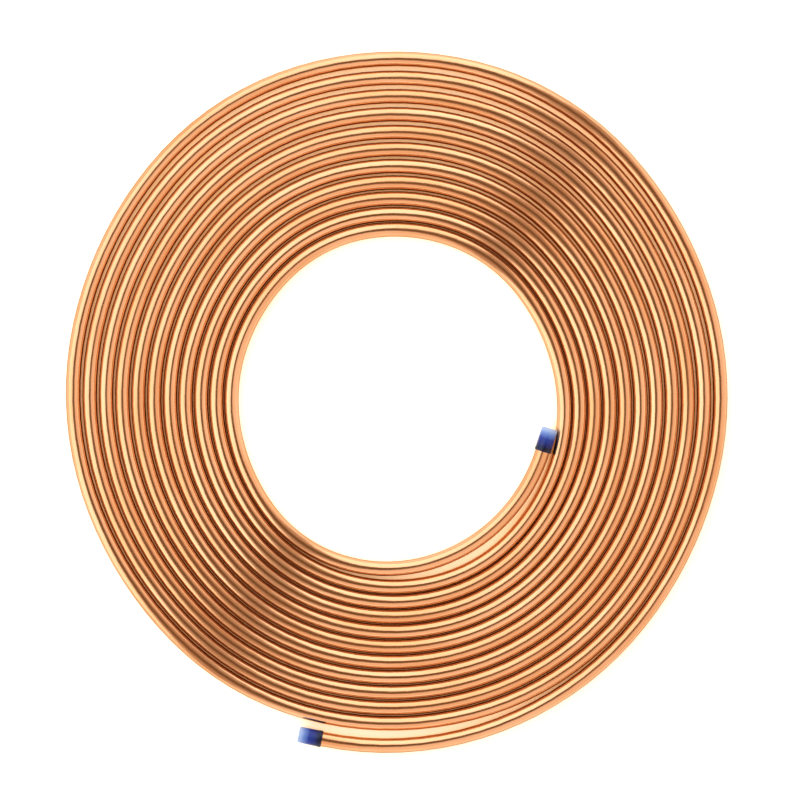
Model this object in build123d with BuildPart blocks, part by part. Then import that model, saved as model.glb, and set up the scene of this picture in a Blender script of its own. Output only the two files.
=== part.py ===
from build123d import *
from math import cos, pi, radians, sin
import os

os.makedirs("parts", exist_ok=True)

# Soft copper tube of the quarter inch size, wound as one flat layer.
# The origin is on the coil's axis, on the floor that the coil lies on. The winding starts at the outer
# end and runs counter-clockwise inwards, seen from above.
tube_od = 6.35
tube_wall = 0.76
turns = 11.231  # between the two straight ends
outer_end_angle = 257.2  # where the outer straight end starts, from +X
arcs_per_turn = 12

# Radius of the tube's centre line
inner_radius = 70.04  # at the inner end, before it is bent in
turn_gap = 0.11  # slack between turns that lie against each other
gap_growth = 0.015  # times the square of the turns: the outer turns lie looser
top_slack = 0.073  # likewise, at the top of the oval, where they lie loosest
lean_x = 2.12  # how far the winding leans towards -X
lean_growth = 0.06  # what each further turn adds to that
lean_y = 1.95  # how far it leans towards -Y
ovality = 2.03  # how much taller than a circle the turns are, and how much narrower
oval_tilt = 2.8  # of the oval's long axis, from +Y

# The two ends, where the last stretch of tube springs off its neighbour
outer_lift = 2.96
outer_lift_span = 0.18  # in turns
inner_dip = 2.72
inner_dip_span = 0.38  # in turns, of a whole dip
inner_dip_lost = 0.07  # in turns, the part of the dip that is cut off by the tube's end
inner_rise = 2.8  # how far the inner end springs up from the floor
inner_rise_span = 0.3  # in turns

# Push-on end caps of soft vinyl
cap_fit = 0.05  # radial clearance over the tube
cap_wall = 0.38
cap_draft = 0.12  # how much the outside narrows from the mouth to the closed end, in radius
cap_depth = 9.5  # from the mouth to the tube's end face
cap_end = 0.9  # thickness of the closed end
cap_corner = 0.5  # rounding of the closed end
cap_bead = 0.1  # height of the bead around the mouth
cap_bead_width = 1.4

cap_radius = tube_od / 2 + cap_fit + cap_wall
bead_radius = cap_radius + cap_bead
cap_rise = bead_radius - tube_od / 2  # a capped end on the floor lies this much higher than the bare tube


def centre_point(turn):
    """A point of the tube's centre line, a number of turns out from the inner end."""
    angle = radians(outer_end_angle + 360 * (turns - turn))
    spiral = inner_radius + (tube_od + turn_gap) * turn + gap_growth * turn**2
    top = top_slack * (turn * (1 + sin(angle)) / 2) ** 2
    off_centre = (lean_x + lean_growth * turn) * cos(angle) + lean_y * sin(angle)
    oval = ovality * cos(2 * (angle - radians(oval_tilt)))
    radius = spiral + top - off_centre - oval
    height = tube_od / 2

    lifted = max(1 - (turns - turn) / outer_lift_span, 0)  # 0 where the end leaves the winding, 1 at the end
    radius += outer_lift * sin(pi / 2 * lifted) ** 2
    height += cap_rise * lifted**2
    dipped = min((turn + inner_dip_lost) / inner_dip_span, 1)
    radius -= inner_dip * sin(pi * dipped) ** 2
    height += inner_rise * max(1 - turn / inner_rise_span, 0) ** 2
    return Vector(radius * cos(angle), radius * sin(angle), height)


# The centre line is one chain of arcs, each tangent to the last, between two straight ends
arc_count = round(turns * arcs_per_turn)
with BuildLine() as centre_line:
    start = centre_point(turns)
    heading = (centre_point(turns - 1 / 360) - start).normalized()  # towards a point one degree on
    outer_end = Line(start - heading * cap_depth, start)
    for arc in range(1, arc_count + 1):
        bend = TangentArc(start, centre_point(turns * (1 - arc / arc_count)), tangent=heading)
        start, heading = bend @ 1, bend % 1
    inner_end = Line(start, start + heading * cap_depth)

outer_face = Plane(origin=outer_end @ 0, z_dir=-(outer_end % 0))
inner_face = Plane(origin=inner_end @ 1, z_dir=inner_end % 1)

# The tube, one solid, swept along its whole length
with BuildPart() as copper_tube:
    with BuildSketch(outer_face):
        Circle(tube_od / 2)
        Circle(tube_od / 2 - tube_wall, mode=Mode.SUBTRACT)
    sweep(path=centre_line.line)


def end_cap(seat):
    """A cap pushed over the tube's end until its closed end seats on the face of the tube."""
    half_section = Plane(origin=seat.origin, x_dir=seat.x_dir, z_dir=-seat.y_dir)
    bore = tube_od / 2 + cap_fit
    bead_end = cap_bead_width - cap_depth
    with BuildPart() as cap:
        with BuildSketch(half_section) as wall:
            with BuildLine():
                Polyline(
                    (0, 0),
                    (bore, 0),
                    (bore, -cap_depth),
                    (bead_radius, -cap_depth),
                    (bead_radius, bead_end),
                    (cap_radius, bead_end),
                    (cap_radius - cap_draft, cap_end),
                    (0, cap_end),
                    close=True,
                )
            make_face()
            fillet(wall.vertices().group_by(Axis.Y)[-1].sort_by(Axis.X)[-1], cap_corner)
        revolve(axis=Axis(seat.origin, seat.z_dir))
    return cap.part


copper_tube.part.label = "copper_tube"
export_step(copper_tube.part, "parts/copper_tube.step")
for name, seat in (("outer_end_cap", outer_face), ("inner_end_cap", inner_face)):
    cap = end_cap(seat)
    cap.label = name
    export_step(cap, f"parts/{name}.step")
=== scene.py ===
from math import cos, pi, radians, sin, tan

import bmesh
import bpy
from mathutils import Matrix, Vector


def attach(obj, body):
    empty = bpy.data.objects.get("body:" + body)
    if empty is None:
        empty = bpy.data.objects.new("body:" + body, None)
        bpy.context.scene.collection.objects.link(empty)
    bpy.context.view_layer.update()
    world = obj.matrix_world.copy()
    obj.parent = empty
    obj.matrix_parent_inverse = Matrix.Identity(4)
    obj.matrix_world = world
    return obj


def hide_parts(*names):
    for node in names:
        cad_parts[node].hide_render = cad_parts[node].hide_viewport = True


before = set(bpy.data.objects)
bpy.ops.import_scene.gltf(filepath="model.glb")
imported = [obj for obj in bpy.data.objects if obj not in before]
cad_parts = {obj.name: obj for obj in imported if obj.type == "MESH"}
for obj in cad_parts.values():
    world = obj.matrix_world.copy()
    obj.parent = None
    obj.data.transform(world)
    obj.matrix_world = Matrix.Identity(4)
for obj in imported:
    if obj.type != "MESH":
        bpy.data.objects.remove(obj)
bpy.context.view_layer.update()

# The tube and its winding, in metres and turns
MM = 0.001
TUBE_RADIUS = 3.175 * MM
TUBE_WALL = 0.76 * MM
TURNS = 11.231
OUTER_END_ANGLE = 257.2
ARCS_PER_TURN = 12
INNER_RADIUS = 70.04 * MM
TURN_GAP = 0.11 * MM
GAP_GROWTH = 0.015 * MM
TOP_SLACK = 0.073 * MM
LEAN_X = 2.12 * MM
LEAN_GROWTH = 0.06 * MM
LEAN_Y = 1.95 * MM
OVALITY = 2.03 * MM
OVAL_TILT = 2.8

# The two ends
OUTER_LIFT = 2.96 * MM
OUTER_LIFT_SPAN = 0.18
INNER_DIP = 2.72 * MM
INNER_DIP_SPAN = 0.38
INNER_DIP_LOST = 0.07
INNER_RISE = 2.8 * MM
INNER_RISE_SPAN = 0.3

# The end caps
CAP_FIT = 0.05 * MM
CAP_WALL = 0.38 * MM
CAP_DRAFT = 0.12 * MM
CAP_DEPTH = 9.5 * MM
CAP_END = 0.9 * MM
CAP_CORNER = 0.5 * MM
CAP_BEAD = 0.1 * MM
CAP_BEAD_WIDTH = 1.4 * MM
CAP_RADIUS = TUBE_RADIUS + CAP_FIT + CAP_WALL
BEAD_RADIUS = CAP_RADIUS + CAP_BEAD
CAP_RISE = BEAD_RADIUS - TUBE_RADIUS
CAP_BEAD_ROUNDING = CAP_BEAD * 0.9

# How finely the round shapes are cut
TUBE_SIDES = 32
RINGS_PER_ARC = 9
CAP_SIDES = 64

# Marks on the surfaces, per metre
DRAWING_LINES = 1400.0
TARNISH_PATCHES = 120.0
HANDLING_DENTS = 60.0
RUBBED_PATCHES = 350.0
GROOVE_REACH = 5 * MM  # how far from a neighbouring turn the copper is painted darker, as shade

# The floor
FLOOR_SIZE = 12
FLOOR_LIFT = 0.3
FLOOR_SHADE_REACH = 8 * MM
FLOOR_NEAR = 0.7
FLOOR_FAR = 3.0


def centre_point(turn):
    """A point of the tube's centre line, a number of turns out from the inner end."""
    angle = radians(OUTER_END_ANGLE + 360 * (TURNS - turn))
    radius = INNER_RADIUS + (2 * TUBE_RADIUS + TURN_GAP) * turn + GAP_GROWTH * turn**2
    radius += TOP_SLACK * (turn * (1 + sin(angle)) / 2) ** 2
    radius -= (LEAN_X + LEAN_GROWTH * turn) * cos(angle) + LEAN_Y * sin(angle)
    radius -= OVALITY * cos(2 * (angle - radians(OVAL_TILT)))
    lifted = max(1 - (TURNS - turn) / OUTER_LIFT_SPAN, 0)
    radius += OUTER_LIFT * sin(pi / 2 * lifted) ** 2
    dipped = min((turn + INNER_DIP_LOST) / INNER_DIP_SPAN, 1)
    radius -= INNER_DIP * sin(pi * dipped) ** 2
    height = TUBE_RADIUS + CAP_RISE * lifted**2 + INNER_RISE * max(1 - turn / INNER_RISE_SPAN, 0) ** 2
    return Vector((radius * cos(angle), radius * sin(angle), height))


class Bend:
    """One arc of the centre line, from a point and a heading to the next point."""

    def __init__(self, start, heading, end):
        chord = end - start
        self.axis = heading.cross(chord).normalized()
        half_turn = heading.angle(chord)
        self.angle = 2 * half_turn
        self.radius = chord.length / (2 * sin(half_turn))
        self.centre = start + self.axis.cross(heading) * self.radius
        self.end = end
        self.end_heading = Matrix.Rotation(self.angle, 3, self.axis) @ heading
        self.length = self.radius * self.angle


def centre_line():
    """The first straight end, the bends and the last straight end, as start, heading and list of bends."""
    start = centre_point(TURNS)
    heading = (centre_point(TURNS - 1 / 360) - start).normalized()
    count = round(TURNS * ARCS_PER_TURN)
    bends, here, way = [], start, heading
    for arc in range(1, count + 1):
        bend = Bend(here, way, centre_point(TURNS * (1 - arc / count)))
        bends.append(bend)
        here, way = bend.end, bend.end_heading
    return start, heading, bends


def new_piece(name, bm, slot, *nodes):
    """Makes the finished mesh a piece of the object that stands for its CAD nodes."""
    mesh = bpy.data.meshes.new(name)
    bm.to_mesh(mesh)
    bm.free()
    piece = bpy.data.objects.new(name, mesh)
    bpy.context.scene.collection.objects.link(piece)
    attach(piece, "root")
    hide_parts(*nodes)
    return piece


def facing(origin, direction):
    """The matrix that puts a shape made around +Z at a place, pointing along a direction."""
    return Matrix.Translation(origin) @ direction.to_track_quat("Z", "X").to_matrix().to_4x4()


def wound_tube(name):
    """The tube: a circle led along the straight ends and spun around the centre of every bend."""
    start, heading, bends = centre_line()
    bm = bmesh.new()
    tail = start - heading * CAP_DEPTH
    bmesh.ops.create_circle(bm, segments=TUBE_SIDES, radius=TUBE_RADIUS, matrix=facing(tail, heading))
    ring = bm.edges[:]
    along = [0.0]

    def lead(ring, way, length):
        moved = bmesh.ops.extrude_edge_only(bm, edges=ring)["geom"]
        verts = [part for part in moved if isinstance(part, bmesh.types.BMVert)]
        bmesh.ops.translate(bm, verts=verts, vec=way * length)
        along.append(along[-1] + length)
        return [part for part in moved if isinstance(part, bmesh.types.BMEdge)]

    ring = lead(ring, heading, CAP_DEPTH)
    for bend in bends:
        spun = bmesh.ops.spin(
            bm, geom=ring, cent=bend.centre, axis=bend.axis, angle=bend.angle, steps=RINGS_PER_ARC,
            use_merge=False, use_duplicate=False,
        )["geom_last"]
        ring = [part for part in spun if isinstance(part, bmesh.types.BMEdge)]
        along += [along[-1] + bend.length * (step + 1) / RINGS_PER_ARC for step in range(RINGS_PER_ARC)]
    lead(ring, bends[-1].end_heading, CAP_DEPTH)

    # Where each point of the wall would be if the tube were straight, for the marks that run along it
    straight = bm.verts.layers.float_vector.new("straight")
    bm.verts.ensure_lookup_table()
    for index, vert in enumerate(bm.verts):
        around = 2 * pi * (index % TUBE_SIDES) / TUBE_SIDES
        vert[straight] = (
            TUBE_RADIUS * cos(around), TUBE_RADIUS * sin(around), along[index // TUBE_SIDES],
        )
    bmesh.ops.recalc_face_normals(bm, faces=bm.faces)
    bmesh.ops.solidify(bm, geom=bm.faces[:], thickness=TUBE_WALL)
    for face in bm.faces:
        face.smooth = True
    return new_piece(name, bm, "copper", "copper_tube")


def end_cap(name, seat, direction):
    """A cup turned from its half section, seated with its closed end on the end of the tube."""
    bm = bmesh.new()
    bore = TUBE_RADIUS + CAP_FIT
    outline = [
        (0, 0), (bore, 0), (bore, -CAP_DEPTH), (BEAD_RADIUS, -CAP_DEPTH),
        (BEAD_RADIUS, CAP_BEAD_WIDTH - CAP_DEPTH), (CAP_RADIUS, CAP_BEAD_WIDTH - CAP_DEPTH),
        (CAP_RADIUS - CAP_DRAFT, CAP_END), (0, CAP_END),
    ]
    corners = [bm.verts.new((radius, 0, height)) for radius, height in outline]
    edges = [bm.edges.new(pair) for pair in zip(corners, corners[1:])]
    rounded = [corners[3], corners[4], corners[5]]
    bmesh.ops.bevel(
        bm, geom=rounded, offset=CAP_BEAD_ROUNDING, segments=3, profile=0.5, affect="VERTICES", material=-1,
    )
    bmesh.ops.bevel(
        bm, geom=[corners[6]], offset=CAP_CORNER, segments=5, profile=0.5, affect="VERTICES", material=-1,
    )
    bmesh.ops.spin(
        bm, geom=bm.edges[:], cent=(0, 0, 0), axis=(0, 0, 1), angle=2 * pi, steps=CAP_SIDES, use_merge=True,
    )
    bmesh.ops.remove_doubles(bm, verts=bm.verts, dist=1e-7)
    bmesh.ops.recalc_face_normals(bm, faces=bm.faces)

    # How far from the mouth each point is, from 0 to 1, for the painted shade at the mouth and the painted
    # sheen towards the closed end
    from_mouth = bm.verts.layers.float.new("from_mouth")
    for vert in bm.verts:
        vert[from_mouth] = (vert.co.z + CAP_DEPTH) / (CAP_DEPTH + CAP_END)
    bmesh.ops.transform(bm, matrix=facing(seat, direction), verts=bm.verts)
    for face in bm.faces:
        face.smooth = True
    return new_piece(name, bm, "cap", name.replace("vinyl", "end"))


def node(tree, kind, **values):
    """Adds a shader node. Values go to its sockets by name, or to its properties."""
    made = tree.nodes.new(kind)
    for key, value in values.items():
        if hasattr(made, key):
            setattr(made, key, value)
        else:
            made.inputs[key.replace("_", " ")].default_value = value
    return made


def colour_steps(tree, steps):
    """Adds a colour ramp through the given pairs of position and colour."""
    made = tree.nodes.new("ShaderNodeValToRGB")
    elements = made.color_ramp.elements
    elements[0].position, elements[1].position = steps[0][0], steps[-1][0]
    for position, _ in steps[1:-1]:
        elements.new(position)
    for element, (position, colour) in zip(elements, steps):
        element.color = (*colour, 1)
    return made


def fine_marks():
    """Shared effect: fine marks stretched along one direction, as a height and a mask."""
    group = bpy.data.node_groups.new("fine_marks", "ShaderNodeTree")
    inputs = {"Vector": "NodeSocketVector", "Scale": "NodeSocketFloat", "Detail": "NodeSocketFloat"}
    for label, kind in inputs.items():
        group.interface.new_socket(label, in_out="INPUT", socket_type=kind)
    for label in ("Height", "Mask"):
        group.interface.new_socket(label, in_out="OUTPUT", socket_type="NodeSocketFloat")
    start = group.nodes.new("NodeGroupInput")
    end = group.nodes.new("NodeGroupOutput")
    noise = node(group, "ShaderNodeTexNoise", noise_dimensions="3D", Roughness=0.6)
    ramp = node(group, "ShaderNodeMapRange", interpolation_type="SMOOTHSTEP", From_Min=0.35, From_Max=0.7)
    group.links.new(start.outputs["Vector"], noise.inputs["Vector"])
    group.links.new(start.outputs["Scale"], noise.inputs["Scale"])
    group.links.new(start.outputs["Detail"], noise.inputs["Detail"])
    group.links.new(noise.outputs["Fac"], ramp.inputs["Value"])
    group.links.new(noise.outputs["Fac"], end.inputs["Height"])
    group.links.new(ramp.outputs["Result"], end.inputs["Mask"])
    return group


MARKS = fine_marks()


def marks(tree, vector, scale, detail):
    made = tree.nodes.new("ShaderNodeGroup")
    made.node_tree = MARKS
    made.inputs["Scale"].default_value = scale
    made.inputs["Detail"].default_value = detail
    tree.links.new(vector, made.inputs["Vector"])
    return made


def new_material(name):
    material = bpy.data.materials.new(name)
    material.use_nodes = True
    return material, material.node_tree, material.node_tree.nodes["Principled BSDF"]


def drawn_copper():
    """Bright drawn copper: lines along the tube, soft dents, uneven tarnish, painted shade that darkens and
    browns the grooves, and a dull specular tint that paints dark grazing edges.
    """
    material, tree, shader = new_material("drawn_copper")
    shader.inputs["Metallic"].default_value = 1.0
    where = node(tree, "ShaderNodeAttribute", attribute_name="straight")
    lengthwise = node(tree, "ShaderNodeMapping", Scale=(1, 1, 0.02))
    tree.links.new(where.outputs["Vector"], lengthwise.inputs["Vector"])
    lines = marks(tree, lengthwise.outputs["Vector"], DRAWING_LINES, 3.0)
    stretch = node(tree, "ShaderNodeMapping", Scale=(1, 1, 0.12))
    tree.links.new(where.outputs["Vector"], stretch.inputs["Vector"])
    tarnish = marks(tree, stretch.outputs["Vector"], TARNISH_PATCHES, 5.0)

    colour = node(tree, "ShaderNodeMix", data_type="RGBA")
    colour.inputs[6].default_value = (0.93, 0.55, 0.30, 1)
    colour.inputs[7].default_value = (0.84, 0.42, 0.19, 1)
    tree.links.new(tarnish.outputs["Mask"], colour.inputs["Factor"])
    # Painted shade: the dull specular tint darkens the copper at grazing angles, which real copper does not
    # do
    shader.inputs["Specular Tint"].default_value = (0.28, 0.26, 0.15, 1)

    # Painted shade: darker and browner where the turns lie against each other
    openness = node(tree, "ShaderNodeAmbientOcclusion", samples=4, Distance=GROOVE_REACH)
    groove_shade_mask = node(tree, "ShaderNodeMapRange", From_Min=0.72, From_Max=0.25)
    tree.links.new(openness.outputs["AO"], groove_shade_mask.inputs["Value"])
    painted_groove_shade = node(tree, "ShaderNodeMix", data_type="RGBA")
    painted_groove_shade.inputs[7].default_value = (0.58, 0.27, 0.13, 1)
    tree.links.new(groove_shade_mask.outputs["Result"], painted_groove_shade.inputs["Factor"])
    tree.links.new(colour.outputs[2], painted_groove_shade.inputs[6])
    tree.links.new(painted_groove_shade.outputs[2], shader.inputs["Base Color"])

    rough = node(tree, "ShaderNodeMapRange", To_Min=0.12, To_Max=0.26)
    tree.links.new(tarnish.outputs["Height"], rough.inputs["Value"])
    tree.links.new(rough.outputs["Result"], shader.inputs["Roughness"])

    dents = marks(tree, where.outputs["Vector"], HANDLING_DENTS, 1.0)
    bump = node(tree, "ShaderNodeBump", Strength=0.35, Distance=0.0001)
    soft = node(tree, "ShaderNodeBump", Strength=0.25, Distance=0.001)
    tree.links.new(dents.outputs["Height"], soft.inputs["Height"])
    tree.links.new(soft.outputs["Normal"], bump.inputs["Normal"])
    tree.links.new(lines.outputs["Height"], bump.inputs["Height"])
    tree.links.new(bump.outputs["Normal"], shader.inputs["Normal"])
    return material


def blue_vinyl():
    """Soft glossy vinyl with rubbed patches, navy in the body, with painted shade making it near black at
    the mouth and a painted sheen making it pale blue towards the closed end.
    """
    material, tree, shader = new_material("blue_vinyl")
    shader.inputs["Coat Weight"].default_value = 0.2
    shader.inputs["Coat Roughness"].default_value = 0.12
    shader.inputs["Specular IOR Level"].default_value = 0.25
    where = node(tree, "ShaderNodeTexCoord")
    rubbed = marks(tree, where.outputs["Object"], RUBBED_PATCHES, 4.0)
    along = node(tree, "ShaderNodeAttribute", attribute_name="from_mouth")
    # Painted shade and sheen: near black at the mouth, navy in the body, pale blue at the closed end where
    # the light would gleam
    painted_shade_and_sheen = colour_steps(tree, (
        (0.14, (0.001, 0.002, 0.01)),
        (0.3, (0.004, 0.012, 0.15)),
        (0.55, (0.01, 0.035, 0.32)),
        (0.76, (0.14, 0.27, 0.70)),
        (0.92, (0.42, 0.60, 0.95)),
    ))
    tree.links.new(along.outputs["Fac"], painted_shade_and_sheen.inputs["Fac"])
    colour = node(tree, "ShaderNodeMix", data_type="RGBA")
    colour.inputs[7].default_value = (0.05, 0.13, 0.50, 1)
    patches = node(tree, "ShaderNodeMath", operation="MULTIPLY")
    patches.inputs[1].default_value = 0.15
    tree.links.new(rubbed.outputs["Mask"], patches.inputs[0])
    tree.links.new(patches.outputs["Value"], colour.inputs["Factor"])
    tree.links.new(painted_shade_and_sheen.outputs["Color"], colour.inputs[6])
    tree.links.new(colour.outputs[2], shader.inputs["Base Color"])
    rough = node(tree, "ShaderNodeMapRange", To_Min=0.25, To_Max=0.42)
    tree.links.new(rubbed.outputs["Height"], rough.inputs["Value"])
    tree.links.new(rough.outputs["Result"], shader.inputs["Roughness"])
    bump = node(tree, "ShaderNodeBump", Strength=0.15, Distance=0.0002)
    tree.links.new(rubbed.outputs["Height"], bump.inputs["Height"])
    tree.links.new(bump.outputs["Normal"], shader.inputs["Normal"])
    return material


def floor_white():
    """White floor, lifted to pure white for the camera and the metal, with a painted copper glow and
    painted shade in the gaps between the turns.
    """
    material, tree, shader = new_material("floor_white")
    shader.inputs["Roughness"].default_value = 0.9
    shader.inputs["Specular IOR Level"].default_value = 0.0
    path = node(tree, "ShaderNodeLightPath")
    seen = node(tree, "ShaderNodeMath", operation="MAXIMUM")
    tree.links.new(path.outputs["Is Camera Ray"], seen.inputs[0])
    tree.links.new(path.outputs["Is Glossy Ray"], seen.inputs[1])
    tree.links.new(seen.outputs["Value"], shader.inputs["Emission Strength"])
    openness = node(tree, "ShaderNodeAmbientOcclusion", samples=8, Distance=FLOOR_SHADE_REACH)
    # Painted glow and shade: the lift turns copper coloured where the floor lies between the turns,
    # standing in for light bounced off the copper, and dark in the narrowest gaps
    painted_gap_glow_lift = colour_steps(tree, (
        (0.0, (0.12, 0.03, 0.008)),
        (0.1, (0.42, 0.16, 0.05)),
        (0.3, (0.96, 0.57, 0.25)),
        (0.45, (0.78, 0.70, 0.46)),
        (0.75, (0.48, 0.48, 0.44)),
        (1.0, (FLOOR_LIFT, FLOOR_LIFT, FLOOR_LIFT)),
    ))
    tree.links.new(openness.outputs["AO"], painted_gap_glow_lift.inputs["Fac"])
    # Painted shade: the floor's own colour turns brown and dark in the gaps between the turns
    painted_gap_shade_ground = colour_steps(tree, (
        (0.0, (0.45, 0.16, 0.06)),
        (0.35, (0.9, 0.76, 0.62)),
        (0.6, (0.9, 0.9, 0.9)),
    ))
    tree.links.new(openness.outputs["AO"], painted_gap_shade_ground.inputs["Fac"])
    tree.links.new(painted_gap_shade_ground.outputs["Color"], shader.inputs["Base Color"])

    # Beyond the reach of the softboxes the lift makes up for their light
    where = node(tree, "ShaderNodeTexCoord")
    away = node(tree, "ShaderNodeVectorMath", operation="LENGTH")
    tree.links.new(where.outputs["Object"], away.inputs[0])
    far = node(tree, "ShaderNodeMapRange", From_Min=FLOOR_NEAR, From_Max=FLOOR_FAR)
    far.interpolation_type = "SMOOTHSTEP"
    tree.links.new(away.outputs["Value"], far.inputs["Value"])
    lifted = node(tree, "ShaderNodeMix", data_type="RGBA")
    lifted.inputs[7].default_value = (0.76, 0.83, 0.87, 1)
    tree.links.new(far.outputs["Result"], lifted.inputs["Factor"])
    tree.links.new(painted_gap_glow_lift.outputs["Color"], lifted.inputs[6])
    tree.links.new(lifted.outputs[2], shader.inputs["Emission Color"])
    return material


def floor(size):
    bm = bmesh.new()
    bmesh.ops.create_grid(bm, x_segments=1, y_segments=1, size=size / 2)
    mesh = bpy.data.meshes.new("floor")
    bm.to_mesh(mesh)
    bm.free()
    made = bpy.data.objects.new("floor", mesh)
    bpy.context.scene.collection.objects.link(made)
    made.data.materials.append(floor_white())
    return made


def softbox(name, azimuth, nearest, farthest, distance, length, radiance, colour):
    """A long soft light, facing the coil, over the angles from overhead between nearest and farthest."""
    tilt = (nearest + farthest) / 2
    width = 2 * distance * tan(radians(farthest - nearest) / 2)
    lamp = bpy.data.lights.new(name, "AREA")
    lamp.shape = "RECTANGLE"
    lamp.size = length
    lamp.size_y = width
    lamp.energy = radiance * pi * length * width
    lamp.color = colour
    made = bpy.data.objects.new(name, lamp)
    bpy.context.scene.collection.objects.link(made)
    outwards = sin(radians(tilt))
    away = Vector((cos(radians(azimuth)) * outwards, sin(radians(azimuth)) * outwards, cos(radians(tilt))))
    made.location = away * distance
    made.rotation_euler = away.to_track_quat("Z", "Y").to_euler()
    return made


def studio():
    """The room around the softboxes, white at the horizon and darkest overhead."""
    world = bpy.data.worlds.new("studio")
    world.use_nodes = True
    tree = world.node_tree
    where = node(tree, "ShaderNodeTexCoord")
    parts = node(tree, "ShaderNodeSeparateXYZ")
    tree.links.new(where.outputs["Generated"], parts.inputs["Vector"])
    room = colour_steps(tree, (
        (0.14, (1.0, 1.0, 1.0)),
        (0.26, (0.86, 0.74, 0.62)),
        (0.36, (0.50, 0.34, 0.26)),
        (0.86, (0.50, 0.33, 0.25)),
        (0.97, (0.15, 0.08, 0.03)),
    ))
    tree.links.new(parts.outputs["Z"], room.inputs["Fac"])
    tree.links.new(room.outputs["Color"], tree.nodes["Background"].inputs["Color"])
    return world


def camera(centre, view_width, lens):
    """Looks straight down on the coil, with +Y up in the picture."""
    data = bpy.data.cameras.new("camera")
    data.lens = lens
    made = bpy.data.objects.new("camera", data)
    bpy.context.scene.collection.objects.link(made)
    made.location = (centre[0], centre[1], view_width / data.sensor_width * lens + TUBE_RADIUS)
    bpy.context.scene.camera = made
    return made


# The photograph's frame
PICTURE = 800
PIXEL = 0.4365 * MM
AXIS_PIXEL = (399, 400)
LENS = 135

# The light: two long softboxes on either side of a dark strip overhead
LIGHT_AZIMUTH = 143
LIGHT_DISTANCE = 1.7
LIGHT_LENGTH = 12

start, heading, bends = centre_line()
tube = wound_tube("wound_tube")
tube.data.materials.append(drawn_copper())
vinyl = blue_vinyl()
outer_cap = end_cap("outer_vinyl_cap", start - heading * CAP_DEPTH, -heading)
outer_cap.data.materials.append(vinyl)
last = bends[-1]
inner_cap = end_cap("inner_vinyl_cap", last.end + last.end_heading * CAP_DEPTH, last.end_heading)
inner_cap.data.materials.append(vinyl)

floor(FLOOR_SIZE)
softbox("key", LIGHT_AZIMUTH, 11, 70, LIGHT_DISTANCE, LIGHT_LENGTH, 1.28, (0.89, 0.96, 1.0))
softbox("fill", LIGHT_AZIMUTH + 180, 13, 72, LIGHT_DISTANCE, LIGHT_LENGTH, 0.58, (1.0, 0.88, 0.86))
bpy.context.scene.world = studio()
bpy.context.scene.view_settings.view_transform = "Standard"
centre = ((PICTURE / 2 - AXIS_PIXEL[0]) * PIXEL, (AXIS_PIXEL[1] - PICTURE / 2) * PIXEL)
camera(centre, PICTURE * PIXEL, LENS)
